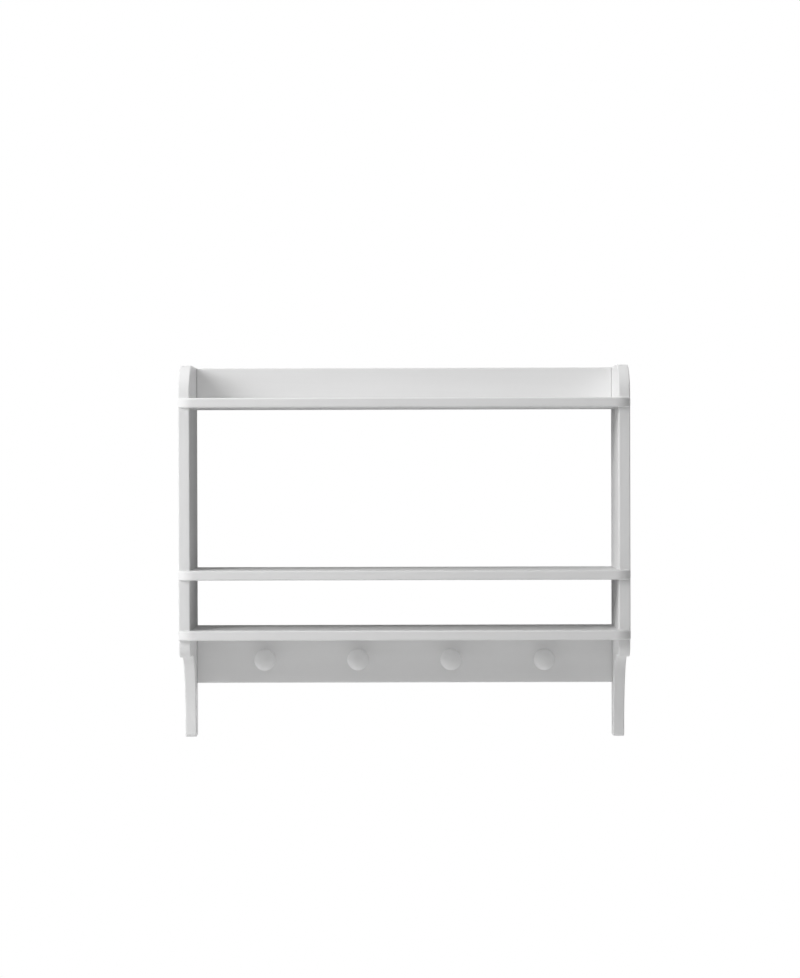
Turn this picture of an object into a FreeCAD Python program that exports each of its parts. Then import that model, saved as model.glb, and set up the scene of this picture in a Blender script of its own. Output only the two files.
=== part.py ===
import FreeCAD, Part
import math
import os

# A wall rack of painted wood. Two shaped side panels carry three shelves, whose
# fronts lap over the panels' front edges. A board stands behind the top shelf, and a
# rail with four turned pegs hangs under the bottom shelf. Loose tongues glued into
# grooves join the boards, and two keyhole plates let into the back board hang the rack
# on two wall screws.
# Lengths are millimetres. X runs along the shelves, Y into the wall and Z up. The
# origin is midway between the two keyholes, on the plane of the wall.

# Overall sizes
overall_width = 700.0
panel_depth = 150.0
panel_thickness = 18.0
shelf_thickness = 15.0
edge_round = 2.0
cut_overrun = 5.0

# Heights, from the top of the side panels downwards
tray_height = 52.5
upper_bay_height = 252.0
lower_bay_height = 78.0
rail_height = 76.5

# Side panel outline: rounded top corner, then a bracket below the bottom shelf
top_corner_radius = 52.0
bracket_setback = 6.0
bracket_round = 18.0
bracket_drop = 28.0
ledge_length = 26.0
scoop_height = 114.0
scoop_top_share = 0.75
foot_height = 20.0
foot_depth = 28.0
foot_corner_radius = 5.0

# Shelf front: how far it stands out, and its corners seen from above
nose_overhang = 12.0
nose_corner_radius = 30.0
nose_side_radius = 3.0
nose_side_flat = 1.0
nose_edge_round = 2.5

# Back board behind the top shelf, from just under the panels' tops to the shelf's underside
back_board_thickness = 15.0
back_board_set_down = 1.0

# Peg rail
rail_thickness = 18.0
peg_end_inset = 110.0
peg_count = 4
peg_bore_clearance = 0.05
peg_bore_end_gap = 0.5

# Turned peg: tenon, waisted neck and domed head
tenon_radius = 6.0
tenon_length = 14.0
neck_foot_radius = 9.5
neck_waist_radius = 7.0
neck_length = 19.0
neck_top_radius = 9.0
head_radius = 17.0
head_underside_rise = 2.5
head_band = 1.0
head_rim_radius = 3.0
dome_height = 11.0

# Loose tongues, each glued into a groove on both sides of its joint
tongue_thickness = 4.0
tongue_reach = 10.0
tongue_reach_in_face = 7.5
tongue_side_clearance = 0.1
tongue_end_clearance = 0.5
tongue_front_inset = 30.0
tongue_rear_inset = 20.0
tongue_board_inset = 10.0
tongue_edge_inset = 40.0

# Keyhole plates and their screws
hanger_inset = 52.0
keyhole_below_board_top = 28.75
plate_height = 42.0
plate_width = 16.0
plate_thickness = 1.5
plate_clearance = 0.15
keyhole_radius = 4.5
keyhole_below_plate_centre = 3.0
keyhole_slot_width = 4.8
keyhole_slot_rise = 11.0
relief_wall_gap = 0.7
relief_depth = 8.0
plate_screw_offset = 16.5
screw_shank_radius = 1.5
screw_head_radius = 2.9
screw_length = 10.0
screw_point_length = 2.5
screw_clearance = 0.05
screw_slot_width = 0.7
screw_slot_depth = 0.7

# Places worked out from the sizes above
half_width = overall_width / 2
inner_half_width = half_width - panel_thickness
nose_front = panel_depth + nose_overhang
plate_centre_z = keyhole_below_plate_centre
back_board_top = keyhole_below_board_top
panel_top = back_board_top + back_board_set_down
top_shelf_top = panel_top - tray_height
top_shelf_bottom = top_shelf_top - shelf_thickness
middle_shelf_top = top_shelf_bottom - upper_bay_height
middle_shelf_bottom = middle_shelf_top - shelf_thickness
bottom_shelf_top = middle_shelf_bottom - lower_bay_height
bottom_shelf_bottom = bottom_shelf_top - shelf_thickness
rail_bottom = bottom_shelf_bottom - rail_height
ledge_z = bottom_shelf_bottom - bracket_drop
scoop_end_z = ledge_z - scoop_height
panel_bottom = scoop_end_z - foot_height
peg_z = bottom_shelf_bottom - rail_height / 2
peg_spacing = 2 * (inner_half_width - peg_end_inset) / (peg_count - 1)
hanger_x = inner_half_width - hanger_inset
edge_tongue_length = 2 * (inner_half_width - tongue_edge_inset)

X_AXIS = FreeCAD.Vector(1, 0, 0)
Y_AXIS = FreeCAD.Vector(0, 1, 0)
Z_AXIS = FreeCAD.Vector(0, 0, 1)
ORIGIN = FreeCAD.Vector(0, 0, 0)


def vec(x, y, z):
    return FreeCAD.Vector(x, y, z)


def line(start, end):
    return Part.LineSegment(start, end).toShape()


def round_between(start, centre, end):
    """Circular edge from start to end about centre, the short way round."""
    radius = (start - centre).Length
    middle = centre + ((start - centre) + (end - centre)).normalize() * radius
    return Part.Arc(start, middle, end).toShape()


def hollow_curve(start, corner, end, top_share):
    """Two tangent arcs from start to end, level at start and upright at end.

    The upper arc's radius is a share of the curve's depth, and the lower one's follows.
    """
    depth = corner.y - start.y
    drop = corner.z - end.z
    top_radius = depth * top_share
    low_radius = (depth ** 2 + drop ** 2 - 2 * drop * top_radius) / (2 * (depth - top_radius))
    top_centre = start - Z_AXIS * top_radius
    low_centre = end - Y_AXIS * low_radius
    meeting = low_centre + (top_centre - low_centre).normalize() * low_radius
    return [round_between(start, top_centre, meeting), round_between(meeting, low_centre, end)]


def block(x_low, x_high, y_low, y_high, z_low, z_high):
    return Part.makeBox(x_high - x_low, y_high - y_low, z_high - z_low, vec(x_low, y_low, z_low))


def edges_where(shape, test):
    """Edges whose two ends and middle all pass the test."""
    found = []
    for edge in shape.Edges:
        first = edge.FirstParameter
        last = edge.LastParameter
        points = [edge.valueAt(first), edge.valueAt((first + last) / 2), edge.valueAt(last)]
        if all(test(point) for point in points):
            found.append(edge)
    return found


def near(value, target):
    return abs(value - target) < overall_width * 1e-7


def mirrored(shape):
    return shape.mirror(ORIGIN, X_AXIS)


# Loose tongues and their grooves

def size_along(axis, amount):
    """Size vector with the amount along an axis, whichever way the axis points."""
    return vec(abs(axis.x), abs(axis.y), abs(axis.z)) * amount


def slab_about(centre, into, along, depth, length, thickness):
    """Block centred on a point, with its depth, length and thickness along three axes."""
    across = into.cross(along)
    size = size_along(into, depth) + size_along(along, length) + size_along(across, thickness)
    return Part.makeBox(size.x, size.y, size.z, centre - size * 0.5)


def loose_tongue(joint_point, into, along, length, reach_ahead):
    """A tongue across a joint, and the grooves that take it ahead and behind.

    into points at the piece that takes reach_ahead, and the tongue runs along the joint.
    """
    ahead_depth = reach_ahead - tongue_end_clearance
    behind_depth = tongue_reach - tongue_end_clearance
    depth = ahead_depth + behind_depth
    centre = joint_point + into * (ahead_depth - depth / 2)
    tongue = slab_about(centre, into, along, depth, length, tongue_thickness)
    groove_length = length + 2 * tongue_end_clearance
    groove_width = tongue_thickness + 2 * tongue_side_clearance
    ahead_centre = joint_point + into * (reach_ahead / 2)
    behind_centre = joint_point - into * (tongue_reach / 2)
    ahead = slab_about(ahead_centre, into, along, reach_ahead, groove_length, groove_width)
    behind = slab_about(behind_centre, into, along, tongue_reach, groove_length, groove_width)
    return tongue, ahead, behind


def end_tongues(y, z, along, length):
    """Tongues at both ends of a board, with the grooves for the panels and for the board."""
    tongues = []
    panel_grooves = []
    board_grooves = []
    for side in (-1, 1):
        joint_point = vec(side * inner_half_width, y, z)
        tongue, ahead, behind = loose_tongue(joint_point, X_AXIS * side, along, length, tongue_reach)
        tongues.append(tongue)
        panel_grooves.append((side, ahead))
        board_grooves.append(behind)
    return tongues, panel_grooves, board_grooves


def shelf_tongues(top_z, rear_y):
    """End tongues of a shelf, in the middle of its thickness."""
    front = -panel_depth + tongue_front_inset
    rear = rear_y - tongue_rear_inset
    return end_tongues((front + rear) / 2, top_z - shelf_thickness / 2, Y_AXIS, rear - front)


def upright_board_tongues(thickness, z_low, z_high):
    """End tongues of an upright board, in the middle of its thickness."""
    length = z_high - z_low - 2 * tongue_board_inset
    return end_tongues(-thickness / 2, (z_low + z_high) / 2, Z_AXIS, length)


# Side panels

def rounded_profile(edges, softened):
    """Extrude a side outline to the panel's thickness and soften the chosen long edges."""
    face = Part.Face(Part.Wire(edges))
    slab = face.extrude(X_AXIS * panel_thickness)
    inner_x = -inner_half_width

    def on_soft_edge(point):
        on_side = near(point.x, -half_width) or near(point.x, inner_x)
        return on_side and softened(point)

    return slab.makeFillet(edge_round, edges_where(slab, on_soft_edge))


def upper_panel():
    """Left panel from its rounded top corner down to the underside of the bottom shelf."""
    x = -half_width
    rear_top = vec(x, 0, panel_top)
    corner_centre = vec(x, -panel_depth + top_corner_radius, panel_top - top_corner_radius)
    corner_top = corner_centre + Z_AXIS * top_corner_radius
    corner_front = corner_centre - Y_AXIS * top_corner_radius
    front_low = vec(x, -panel_depth, bottom_shelf_bottom)
    rear_low = vec(x, 0, bottom_shelf_bottom)
    edges = [
        line(rear_top, corner_top),
        round_between(corner_top, corner_centre, corner_front),
        line(corner_front, front_low),
        line(front_low, rear_low),
        line(rear_low, rear_top),
    ]

    def softened(point):
        at_rear_middle = near(point.y, 0) and not near(point.z, panel_top)
        at_bottom_middle = near(point.z, bottom_shelf_bottom) and not near(point.y, -panel_depth)
        return not at_rear_middle and not at_bottom_middle

    return rounded_profile(edges, softened)


def lower_bracket():
    """Left panel below the bottom shelf: rounded end, ledge, long hollow curve and slim foot."""
    x = -half_width
    front_y = -panel_depth + bracket_setback
    ledge_front_y = front_y + bracket_round
    ledge_rear_y = ledge_front_y + ledge_length
    foot_y = -foot_depth
    front_top = vec(x, front_y, bottom_shelf_bottom)
    round_centre = vec(x, ledge_front_y, ledge_z + bracket_round)
    round_start = round_centre - Y_AXIS * bracket_round
    round_end = round_centre - Z_AXIS * bracket_round
    scoop_start = vec(x, ledge_rear_y, ledge_z)
    scoop_corner = vec(x, foot_y, ledge_z)
    scoop_end = vec(x, foot_y, scoop_end_z)
    foot_centre = vec(x, foot_y + foot_corner_radius, panel_bottom + foot_corner_radius)
    foot_front = foot_centre - Y_AXIS * foot_corner_radius
    foot_under = foot_centre - Z_AXIS * foot_corner_radius
    rear_low = vec(x, 0, panel_bottom)
    rear_top = vec(x, 0, bottom_shelf_bottom)
    edges = [
        line(front_top, round_start),
        round_between(round_start, round_centre, round_end),
        line(round_end, scoop_start),
        *hollow_curve(scoop_start, scoop_corner, scoop_end, scoop_top_share),
        line(scoop_end, foot_front),
        round_between(foot_front, foot_centre, foot_under),
        line(foot_under, rear_low),
        line(rear_low, rear_top),
        line(rear_top, front_top),
    ]

    def softened(point):
        at_rear_middle = near(point.y, 0) and not near(point.z, panel_bottom)
        at_top_middle = near(point.z, bottom_shelf_bottom) and not near(point.y, front_y)
        return not at_rear_middle and not at_top_middle

    return rounded_profile(edges, softened)


def side_panel(side, grooves):
    """One side panel, grooved on its inner face."""
    panel = upper_panel().fuse(lower_bracket()).removeSplitter()
    if side > 0:
        panel = mirrored(panel)
    for groove_side, groove in grooves:
        if groove_side == side:
            panel = panel.cut(groove)
    return panel


# Shelves

def nose_corner(side):
    """Edges round one front corner of a shelf, from the notch to the straight front."""
    side_flat_end_y = -panel_depth - nose_side_flat
    small_centre = vec(side * (half_width - nose_side_radius), side_flat_end_y, 0)
    large_centre_y = -nose_front + nose_corner_radius
    reach = nose_corner_radius - nose_side_radius
    fall = side_flat_end_y - large_centre_y
    large_centre_x = small_centre.x - side * math.sqrt(reach ** 2 - fall ** 2)
    large_centre = vec(large_centre_x, large_centre_y, 0)
    outward = (small_centre - large_centre).normalize()
    notch_inner = vec(side * inner_half_width, -panel_depth, 0)
    notch_outer = vec(side * half_width, -panel_depth, 0)
    flat_end = vec(side * half_width, side_flat_end_y, 0)
    curves_meet = large_centre + outward * nose_corner_radius
    front_start = vec(large_centre_x, -nose_front, 0)
    edges = [
        line(notch_inner, notch_outer),
        line(notch_outer, flat_end),
        round_between(flat_end, small_centre, curves_meet),
        round_between(curves_meet, large_centre, front_start),
    ]
    return edges, notch_inner, front_start


def shelf(top_z, rear_y, grooves):
    """Board notched round both panels, with a full-width front and softened front edges."""
    right_edges, right_notch, right_front = nose_corner(1)
    left_edges, left_notch, left_front = nose_corner(-1)
    rear_right = vec(inner_half_width, rear_y, 0)
    rear_left = vec(-inner_half_width, rear_y, 0)
    edges = [line(rear_left, rear_right), line(rear_right, right_notch)]
    edges += right_edges
    edges += [line(right_front, left_front)]
    edges += left_edges
    edges += [line(left_notch, rear_left)]
    outline = Part.Wire(Part.sortEdges(edges)[0])
    board = Part.Face(outline).extrude(Z_AXIS * shelf_thickness)

    def on_nose_edge(point):
        on_face = near(point.z, 0) or near(point.z, shelf_thickness)
        ahead = point.y < -panel_depth or near(point.y, -panel_depth)
        outside = near(abs(point.x), half_width) or point.y < -panel_depth - nose_side_flat / 2
        return on_face and ahead and outside

    board = board.makeFillet(nose_edge_round, edges_where(board, on_nose_edge))
    board.translate(vec(0, 0, top_z - shelf_thickness))
    for groove in grooves:
        board = board.cut(groove)
    return board


# Boards between the panels

def soft_faced_board(thickness, z_low, z_high, cuts):
    """Board between the panels, flush at the back, softened round its front face."""
    board = block(-inner_half_width, inner_half_width, -thickness, 0, z_low, z_high)

    def on_front(point):
        return near(point.y, -thickness)

    board = board.makeFillet(edge_round, edges_where(board, on_front))
    for cut in cuts:
        board = board.cut(cut)
    return board


# Pegs

def peg_places():
    return [(index - (peg_count - 1) / 2) * peg_spacing for index in range(peg_count)]


def peg_bore(x):
    """Blind hole in the rail's face for a peg's tenon."""
    mouth = vec(x, -rail_thickness, peg_z)
    bore_radius = tenon_radius + peg_bore_clearance
    return Part.makeCylinder(bore_radius, tenon_length + peg_bore_end_gap, mouth, Y_AXIS)


def peg(x):
    """Turned peg: tenon, waisted neck, undercut head with a rounded rim and a domed front."""

    def at(radius, out):
        return vec(x + radius, -rail_thickness - out, peg_z)

    head_back = neck_length + head_underside_rise
    rim_centre_out = head_back + head_band
    front = rim_centre_out + dome_height
    rim_inner = head_radius - head_rim_radius
    # The dome meets the rounded rim tangentially, so both share a line through their centres.
    dome_span = rim_inner ** 2 + dome_height ** 2 - head_rim_radius ** 2
    dome_radius = dome_span / (2 * (dome_height - head_rim_radius))
    dome_centre = at(0, front - dome_radius)
    rim_centre = at(rim_inner, rim_centre_out)
    dome_start = dome_centre + (rim_centre - dome_centre).normalize() * dome_radius
    band_back = at(head_radius, head_back)
    band_front = at(head_radius, rim_centre_out)
    neck_waist = at(neck_waist_radius, neck_length / 2)
    neck_top = at(neck_top_radius, neck_length)
    edges = [
        line(at(0, -tenon_length), at(tenon_radius, -tenon_length)),
        line(at(tenon_radius, -tenon_length), at(tenon_radius, 0)),
        line(at(tenon_radius, 0), at(neck_foot_radius, 0)),
        Part.Arc(at(neck_foot_radius, 0), neck_waist, neck_top).toShape(),
        line(neck_top, band_back),
        line(band_back, band_front),
        round_between(band_front, rim_centre, dome_start),
        round_between(dome_start, dome_centre, at(0, front)),
        line(at(0, front), at(0, -tenon_length)),
    ]
    profile = Part.Face(Part.Wire(edges))
    return profile.revolve(vec(x, 0, peg_z), Y_AXIS, 360)


# Keyhole plates

def upright_slot(x, y_rear, depth, radius, z_low, z_high):
    """Round-ended upright slot cut forward from a plane, between two centre heights."""
    low = Part.makeCylinder(radius, depth, vec(x, y_rear, z_low), Y_AXIS * -1)
    high = Part.makeCylinder(radius, depth, vec(x, y_rear, z_high), Y_AXIS * -1)
    middle = block(x - radius, x + radius, y_rear - depth, y_rear, z_low, z_high)
    return low.fuse(middle).fuse(high).removeSplitter()


def plate_screw_heights():
    return [plate_centre_z - plate_screw_offset, plate_centre_z + plate_screw_offset]


def keyhole_plate(x):
    """Round-ended plate with a keyhole and two countersunk screw holes."""
    end_radius = plate_width / 2
    half_straight = plate_height / 2 - end_radius
    plate = upright_slot(x, 0, plate_thickness, end_radius,
                         plate_centre_z - half_straight, plate_centre_z + half_straight)
    entry = Part.makeCylinder(keyhole_radius, plate_thickness + cut_overrun,
                              vec(x, cut_overrun / 2, 0), Y_AXIS * -1)
    slot = upright_slot(x, cut_overrun / 2, plate_thickness + cut_overrun,
                        keyhole_slot_width / 2, 0, keyhole_slot_rise)
    plate = plate.cut(entry.fuse(slot))
    for z in plate_screw_heights():
        plate = plate.cut(countersunk_head(x, z, screw_clearance))
    return plate


def countersunk_head(x, z, allowance):
    """Screw head and the shank through the plate, enlarged by an allowance as a cutter."""
    head_height = screw_head_radius - screw_shank_radius
    shank_radius = screw_shank_radius + allowance
    head = Part.makeCone(screw_head_radius + allowance, shank_radius, head_height, vec(x, 0, z), Y_AXIS * -1)
    return head.fuse(screw_hole(x, z, allowance)).removeSplitter()


def screw_hole(x, z, allowance):
    """Cylinder round a screw's shank, down to the end of its point."""
    return Part.makeCylinder(screw_shank_radius + allowance, screw_length + allowance,
                             vec(x, 0, z), Y_AXIS * -1)


def plate_screw(x, z):
    """Countersunk screw with a cross recess in its head and a tapered point."""
    head_height = screw_head_radius - screw_shank_radius
    straight_length = screw_length - head_height - screw_point_length
    head = Part.makeCone(screw_head_radius, screw_shank_radius, head_height, vec(x, 0, z), Y_AXIS * -1)
    shank = Part.makeCylinder(screw_shank_radius, straight_length, vec(x, -head_height, z), Y_AXIS * -1)
    point = Part.makeCone(screw_shank_radius, 0, screw_point_length,
                          vec(x, -head_height - straight_length, z), Y_AXIS * -1)
    arm = screw_shank_radius
    half_slot = screw_slot_width / 2
    upright = block(x - half_slot, x + half_slot, -screw_slot_depth, cut_overrun, z - arm, z + arm)
    level = block(x - arm, x + arm, -screw_slot_depth, cut_overrun, z - half_slot, z + half_slot)
    return head.fuse(shank).fuse(point).removeSplitter().cut(upright.fuse(level))


def hanger_cuts(x):
    """Recess for a plate, relief behind its keyhole, and holes for its screws."""
    end_radius = plate_width / 2 + plate_clearance
    half_straight = plate_height / 2 - plate_width / 2
    recess = upright_slot(x, 0, plate_thickness, end_radius,
                          plate_centre_z - half_straight, plate_centre_z + half_straight)
    relief = upright_slot(x, 0, plate_thickness + relief_depth, keyhole_radius + relief_wall_gap,
                          0, keyhole_slot_rise)
    cuts = [recess, relief]
    for z in plate_screw_heights():
        cuts.append(screw_hole(x, z, screw_clearance))
    return cuts


# Assembly

def save(name, solids):
    shape = solids[0] if len(solids) == 1 else Part.makeCompound(solids)
    shape.exportStep(os.path.join("parts", name + ".step"))


def build():
    os.makedirs("parts", exist_ok=True)
    top_rear = -back_board_thickness
    top_tongues, top_panel_grooves, top_grooves = shelf_tongues(top_shelf_top, top_rear)
    middle_tongues, middle_panel_grooves, middle_grooves = shelf_tongues(middle_shelf_top, 0)
    bottom_tongues, bottom_panel_grooves, bottom_grooves = shelf_tongues(bottom_shelf_top, 0)
    back_end_tongues, back_panel_grooves, back_grooves = upright_board_tongues(
        back_board_thickness, top_shelf_bottom, back_board_top)
    rail_end_tongues, rail_panel_grooves, rail_grooves = upright_board_tongues(
        rail_thickness, rail_bottom, bottom_shelf_bottom)

    back_joint = vec(0, top_rear, top_shelf_top - shelf_thickness / 2)
    back_tongue, back_edge_groove, top_edge_groove = loose_tongue(
        back_joint, Y_AXIS, X_AXIS, edge_tongue_length, tongue_reach_in_face)
    rail_joint = vec(0, -rail_thickness / 2, bottom_shelf_bottom)
    rail_tongue, bottom_edge_groove, rail_edge_groove = loose_tongue(
        rail_joint, Z_AXIS, X_AXIS, edge_tongue_length, tongue_reach_in_face)

    panel_grooves = (top_panel_grooves + middle_panel_grooves + bottom_panel_grooves
                     + back_panel_grooves + rail_panel_grooves)
    save("left_side_panel", [side_panel(-1, panel_grooves)])
    save("right_side_panel", [side_panel(1, panel_grooves)])

    save("top_shelf", [shelf(top_shelf_top, top_rear, top_grooves + [top_edge_groove])])
    save("middle_shelf", [shelf(middle_shelf_top, 0, middle_grooves)])
    save("bottom_shelf", [shelf(bottom_shelf_top, 0, bottom_grooves + [bottom_edge_groove])])

    back_cuts = back_grooves + [back_edge_groove] + hanger_cuts(-hanger_x) + hanger_cuts(hanger_x)
    save("back_board", [soft_faced_board(back_board_thickness, top_shelf_bottom, back_board_top, back_cuts)])

    rail_cuts = rail_grooves + [rail_edge_groove] + [peg_bore(x) for x in peg_places()]
    save("peg_rail", [soft_faced_board(rail_thickness, rail_bottom, bottom_shelf_bottom, rail_cuts)])

    for number, x in enumerate(peg_places(), start=1):
        save("peg_" + str(number), [peg(x)])

    save("top_shelf_tongues", top_tongues)
    save("middle_shelf_tongues", middle_tongues)
    save("bottom_shelf_tongues", bottom_tongues)
    save("back_board_tongues", back_end_tongues + [back_tongue])
    save("peg_rail_tongues", rail_end_tongues + [rail_tongue])

    for side, x in (("left", -hanger_x), ("right", hanger_x)):
        save(side + "_keyhole_plate", [keyhole_plate(x)])
        save(side + "_plate_screws", [plate_screw(x, z) for z in plate_screw_heights()])


build()
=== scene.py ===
from math import cos, radians, sin

import bpy
from mathutils import Matrix, Vector


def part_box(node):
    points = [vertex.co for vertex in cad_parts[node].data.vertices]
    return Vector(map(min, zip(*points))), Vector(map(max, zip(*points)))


# A white painted wall rack: two shaped side panels, three shelves, a back board and a
# rail with four turned pegs. Every solid keeps its own shape and gets its finish here.
# Lengths are metres, X along the shelves, Y into the wall and Z up. The scale of a
# noise is about how often it repeats in a metre.

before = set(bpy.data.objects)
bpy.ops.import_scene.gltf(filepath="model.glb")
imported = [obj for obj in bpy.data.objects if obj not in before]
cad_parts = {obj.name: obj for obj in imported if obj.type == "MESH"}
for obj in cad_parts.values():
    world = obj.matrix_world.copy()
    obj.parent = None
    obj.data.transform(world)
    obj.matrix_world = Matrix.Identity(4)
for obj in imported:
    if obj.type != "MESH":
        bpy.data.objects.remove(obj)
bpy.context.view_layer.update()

# Camera, almost level, straight in front of the rack and a little above its middle
lens_millimetres = 96.6555
camera_place = Vector((0.00303, -4.2130, -0.13631))
camera_yaw = radians(0.1337)
camera_pitch = radians(-0.3897)
camera_roll = radians(0.1421)

# White paint: soft clouds of two tones, a third along the wood's fibres, brush strokes
paint_dark = (0.790, 0.790, 0.790, 1)
paint_pale = (0.812, 0.812, 0.812, 1)
paint_on_fibres = (0.774, 0.774, 0.773, 1)
fibre_share = 0.35
fibre_distortion = 0.4
paint_roughness = (0.66, 0.74)
paint_specular = 0.25
grain_along = 5
grain_across = 90
strokes_per_fibre = 4
cloud_scale = 7
peel_scale = 620
paint_fibre_relief = 0.00012
stroke_relief = 0.00006
peel_relief = 0.00002

# Bare birch plywood
ply_dark = (0.66, 0.47, 0.29, 1)
ply_pale = (0.78, 0.61, 0.42, 1)
ply_roughness = (0.62, 0.78)
ply_grain = (90, 260, 260)
pore_scale = 1800
ply_fibre_relief = 0.00012
pore_relief = 0.00004

# Zinc plating, darker on the screws than on the plates
sheet_dark = (0.35, 0.36, 0.38, 1)
sheet_pale = (0.50, 0.50, 0.49, 1)
screw_dark = (0.25, 0.25, 0.26, 1)
screw_pale = (0.37, 0.36, 0.34, 1)
zinc_roughness = (0.24, 0.42)
rolling_grain = (2600, 400, 90)
mottle_scale = 300
spot_scale = 1500
rolling_relief = 0.00003
spot_relief = 0.00001

# Most of a noise lies between these values.
noise_low = 0.3
noise_high = 0.7
# Index of refraction of paint and wood
refraction = 1.5
white = (1, 1, 1, 1)

# Studio lamps, aimed at the rack's middle: name, azimuth, elevation, distance, width,
# height and power. Azimuth is from straight ahead, positive to the right. Angles are
# degrees and powers are watts.
aim = Vector((0, -0.07, -0.26))
lamps = [
    ("key", -42, 25, 2.6, 0.8, 1.0, 25),
    ("side", -76, 16, 2.6, 0.5, 1.0, 22),
    ("top", 0, 86, 2.4, 1.8, 1.8, 29.5),
    ("front", 0, 5, 3.4, 2.2, 2.2, 9),
    ("front_high", 0, 30, 3.0, 1.6, 1.0, 2),
    ("low_left", -80, -25, 1.8, 0.5, 0.5, 1.8),
    ("behind", 180, 3, 5.0, 0.5, 0.5, 45),
    ("behind_right", 130, 5, 4.0, 0.6, 1.0, 50),
]
# These stay out of reflections, because they would streak along the boards.
lamps_without_gloss = ("behind", "behind_right")

# World and stage. The wall behind the two open bays keeps light from behind out of
# them, as a real one does. It is unseen, so that the background shows through the bays.
world_light = 0.1
floor_level = -1.25
floor_low = (-2.6, -3.2)
floor_high = (2.6, 1.3)
floor_dark = (0.78, 0.78, 0.78, 1)
floor_pale = (0.82, 0.82, 0.82, 1)
floor_glow = 0.12
wall_gap = 0.001
# The wall's near black tones are painted shade, for a wall that stands in the bays' shade.
wall_painted_shade_dark = (0.027, 0.027, 0.027, 1)
wall_painted_shade_pale = (0.033, 0.033, 0.033, 1)
speckle_scale = 40
stage_roughness = 0.9


class Nodes:
    """A node tree, with short ways to add and join its nodes."""

    def __init__(self, tree):
        self.tree = tree

    def fill(self, socket, value):
        """Sets a socket to a value, or joins it to another node's output."""
        if isinstance(value, bpy.types.NodeSocket):
            self.tree.links.new(value, socket)
        else:
            socket.default_value = value

    def set(self, node, **inputs):
        """Fills the node's named inputs, which have an underscore for each space."""
        for name, value in inputs.items():
            self.fill(node.inputs[name.replace("_", " ")], value)

    def add(self, kind, **inputs):
        """A new node with the named inputs filled."""
        node = self.tree.nodes.new("ShaderNode" + kind)
        self.set(node, **inputs)
        return node

    def seen(self):
        """One for rays that show a thing to the camera, directly, in gloss or through glass."""
        rays = self.add("LightPath").outputs
        seen = rays["Is Camera Ray"]
        for ray in ("Is Glossy Ray", "Is Transmission Ray"):
            larger = self.add("Math")
            larger.operation = "MAXIMUM"
            self.fill(larger.inputs[0], seen)
            self.fill(larger.inputs[1], rays[ray])
            seen = larger.outputs[0]
        return seen


class Finish(Nodes):
    """A new material, with short ways to make its pattern and relief."""

    def __init__(self, name):
        self.material = bpy.data.materials.new(name)
        self.material.use_nodes = True
        super().__init__(self.material.node_tree)
        self.shader = self.tree.nodes["Principled BSDF"]

    def place(self, stretch=(1, 1, 1)):
        """The point's place on the object, in metres, stretched along each axis."""
        coordinates = self.add("TexCoord").outputs["Object"]
        return self.add("Mapping", Vector=coordinates, Scale=stretch).outputs["Vector"]

    def noise(self, place, scale, detail, **inputs):
        """A smooth random value between zero and one at each place."""
        node = self.add("TexNoise", Vector=place, Scale=scale, Detail=detail, **inputs)
        return node.outputs["Fac"]

    def blend(self, amount, first, second):
        """A colour between two others."""
        mix = self.add("Mix")
        mix.data_type = "RGBA"
        first_socket, second_socket = [each for each in mix.inputs if each.type == "RGBA"]
        self.fill(mix.inputs["Factor"], amount)
        self.fill(first_socket, first)
        self.fill(second_socket, second)
        return next(each for each in mix.outputs if each.type == "RGBA")

    def spread(self, value, low, high, from_low=noise_low, from_high=noise_high):
        """The value moved from its own range to the one from low to high, and kept in it."""
        node = self.add("MapRange", Value=value, From_Min=from_low, From_Max=from_high,
                        To_Min=low, To_Max=high)
        return node.outputs["Result"]

    def bump(self, height, depth, **under):
        """A normal bent by a height, over a coarser one if that is given as Normal."""
        node = self.add("Bump", Height=height, Distance=depth, Strength=1.0, **under)
        return node.outputs["Normal"]


def white_paint(name, grain):
    """Satin white paint, brushed along the wood's grain, which shows faintly through it.

    grain is how closely the figure repeats along X, Y and Z, low along the fibres.
    """
    finish = Finish(name)
    plain = finish.place()
    cloud = finish.noise(plain, cloud_scale, detail=3)
    fibres = finish.noise(finish.place(grain), scale=1, detail=4, Distortion=fibre_distortion)
    stroke_grain = [strokes_per_fibre * value for value in grain]
    strokes = finish.noise(finish.place(stroke_grain), scale=1, detail=2)
    peel = finish.noise(plain, peel_scale, detail=1)
    shade = finish.blend(cloud, paint_dark, paint_pale)
    coat = finish.blend(finish.spread(fibres, 0, fibre_share), shade, paint_on_fibres)
    relief = finish.bump(fibres, paint_fibre_relief)
    relief = finish.bump(strokes, stroke_relief, Normal=relief)
    relief = finish.bump(peel, peel_relief, Normal=relief)
    finish.set(finish.shader, Base_Color=coat, Normal=relief, IOR=refraction,
               Specular_IOR_Level=paint_specular,
               Roughness=finish.spread(strokes, *paint_roughness))
    return finish.material


def plywood(name):
    """Bare plywood with fine fibres and pores."""
    finish = Finish(name)
    fibres = finish.noise(finish.place(ply_grain), scale=1, detail=5)
    pores = finish.noise(finish.place(), pore_scale, detail=2)
    wood = finish.blend(finish.spread(fibres, 0, 1), ply_dark, ply_pale)
    relief = finish.bump(fibres, ply_fibre_relief)
    relief = finish.bump(pores, pore_relief, Normal=relief)
    finish.set(finish.shader, Base_Color=wood, Normal=relief, IOR=refraction,
               Roughness=finish.spread(fibres, *ply_roughness))
    return finish.material


def zinc(name, dark, pale):
    """Zinc plating between two tones, with fine rolling lines and a faint mottle."""
    finish = Finish(name)
    plain = finish.place()
    mottle = finish.noise(plain, mottle_scale, detail=4)
    lines = finish.noise(finish.place(rolling_grain), scale=1, detail=3)
    spots = finish.noise(plain, spot_scale, detail=2)
    tone = finish.blend(finish.spread(mottle, 0, 1), dark, pale)
    relief = finish.bump(lines, rolling_relief)
    relief = finish.bump(spots, spot_relief, Normal=relief)
    finish.set(finish.shader, Base_Color=tone, Metallic=1.0, Normal=relief,
               Roughness=finish.spread(mottle, *zinc_roughness))
    return finish.material


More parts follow.
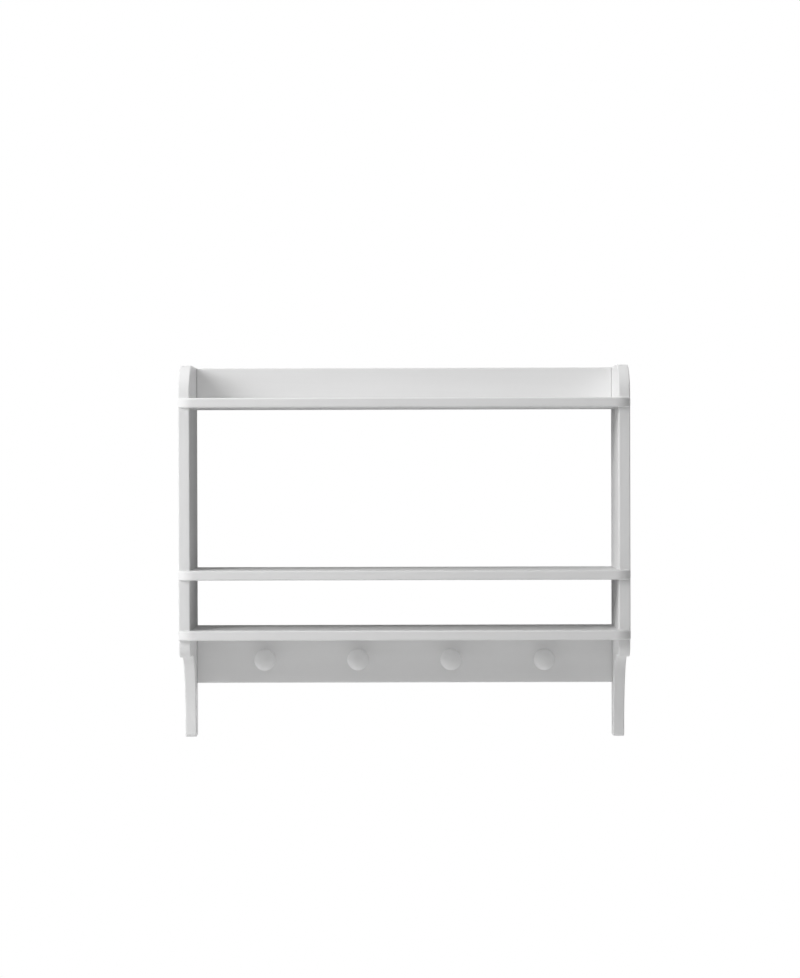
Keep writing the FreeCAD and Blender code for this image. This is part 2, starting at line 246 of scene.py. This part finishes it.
def give_finishes():
    """Every node gets a finish by the last word of its name. Only the pegs end in a number."""
    boards = white_paint("white_paint_boards", (grain_along, grain_across, grain_across))
    panels = white_paint("white_paint_panels", (grain_across, grain_across, grain_along))
    pegs = white_paint("white_paint_pegs", (grain_across, grain_along, grain_across))
    finishes = {
        "panel": panels,
        "tongues": plywood("plywood"),
        "plate": zinc("zinc_sheet", sheet_dark, sheet_pale),
        "screws": zinc("zinc_screw", screw_dark, screw_pale),
    }
    for name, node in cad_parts.items():
        last_word = name.split("_")[-1]
        finish = pegs if last_word.isdigit() else finishes.get(last_word, boards)
        for slot in node.material_slots:
            slot.material = finish


def add_to_scene(name, data):
    """A new object with this data, linked to the scene."""
    thing = bpy.data.objects.new(name, data)
    bpy.context.scene.collection.objects.link(thing)
    return thing


def make_camera():
    data = bpy.data.cameras.new("camera")
    data.lens = lens_millimetres
    camera = add_to_scene("camera", data)
    # A camera looks down until it is turned up by a right angle.
    turn = Matrix.Rotation(camera_yaw, 4, "Z")
    turn = turn @ Matrix.Rotation(radians(90) + camera_pitch, 4, "X")
    turn = turn @ Matrix.Rotation(-camera_roll, 4, "Z")
    camera.matrix_world = Matrix.Translation(camera_place) @ turn
    bpy.context.scene.camera = camera


def make_lamp(name, azimuth, elevation, distance, width, height, power):
    """A soft oblong lamp."""
    data = bpy.data.lights.new(name, "AREA")
    data.shape = "RECTANGLE"
    data.size = width
    data.size_y = height
    data.energy = power
    across = radians(azimuth)
    up = radians(elevation)
    away = Vector((sin(across) * cos(up), -cos(across) * cos(up), sin(up)))
    lamp = add_to_scene(name, data)
    lamp.location = aim + away * distance
    lamp.rotation_euler = away.to_track_quat("Z", "Y").to_euler()
    lamp.visible_glossy = name not in lamps_without_gloss


def make_world():
    """A world that is white where it is seen, and otherwise gives a weak, even light."""
    world = bpy.data.worlds.new("world")
    world.use_nodes = True
    bpy.context.scene.world = world
    nodes = Nodes(world.node_tree)
    nodes.tree.nodes.clear()
    light = nodes.add("Background", Color=white, Strength=world_light)
    backdrop = nodes.add("Background", Color=white, Strength=1.0)
    mix = nodes.add("MixShader", Fac=nodes.seen())
    # The two shader inputs share a name, so they go by their place.
    nodes.fill(mix.inputs[1], light.outputs[0])
    nodes.fill(mix.inputs[2], backdrop.outputs[0])
    nodes.add("OutputWorld", Surface=mix.outputs[0])


def matt_finish(name, dark, pale):
    """A matt finish with faint speckles between two tones."""
    finish = Finish(name)
    speckle = finish.noise(finish.place(), speckle_scale, detail=4)
    tone = finish.blend(speckle, dark, pale)
    finish.set(finish.shader, Base_Color=tone, Roughness=stage_roughness)
    return finish


def flat_sheet(name, corners, finish):
    """A flat sheet between four corners."""
    mesh = bpy.data.meshes.new(name)
    mesh.from_pydata(corners, [], [(0, 1, 2, 3)])
    mesh.materials.append(finish.material)
    return add_to_scene(name, mesh)


def make_floor():
    """A pale matt floor far below the rack, which is about white where it is seen."""
    left, front = floor_low
    right, back = floor_high
    finish = matt_finish("floor", floor_dark, floor_pale)
    glow = finish.spread(finish.seen(), floor_glow, 1, from_low=0, from_high=1)
    finish.set(finish.shader, Emission_Color=white, Emission_Strength=glow)
    corners = [(x, y, floor_level) for x, y in
               ((left, front), (right, front), (right, back), (left, back))]
    floor = flat_sheet("floor", corners, finish)


def make_wall(name, above, below):
    """A dark matt card behind the bay between two shelves; its near black tone is painted
    shade.
    """
    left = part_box("left_side_panel")[1][0]
    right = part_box("right_side_panel")[0][0]
    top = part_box(above)[0][2]
    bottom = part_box(below)[1][2]
    corners = [(x, wall_gap, z) for x, z in
               ((left, bottom), (right, bottom), (right, top), (left, top))]
    wall = flat_sheet(name, corners, matt_finish(name, wall_painted_shade_dark, wall_painted_shade_pale))
    wall.visible_camera = False
    wall.visible_glossy = False
    wall.visible_transmission = False


bpy.context.scene.view_settings.view_transform = "Standard"
make_camera()
give_finishes()
for lamp in lamps:
    make_lamp(*lamp)
make_world()
make_floor()
make_wall("wall_upper", "top_shelf", "middle_shelf")
make_wall("wall_lower", "middle_shelf", "bottom_shelf")
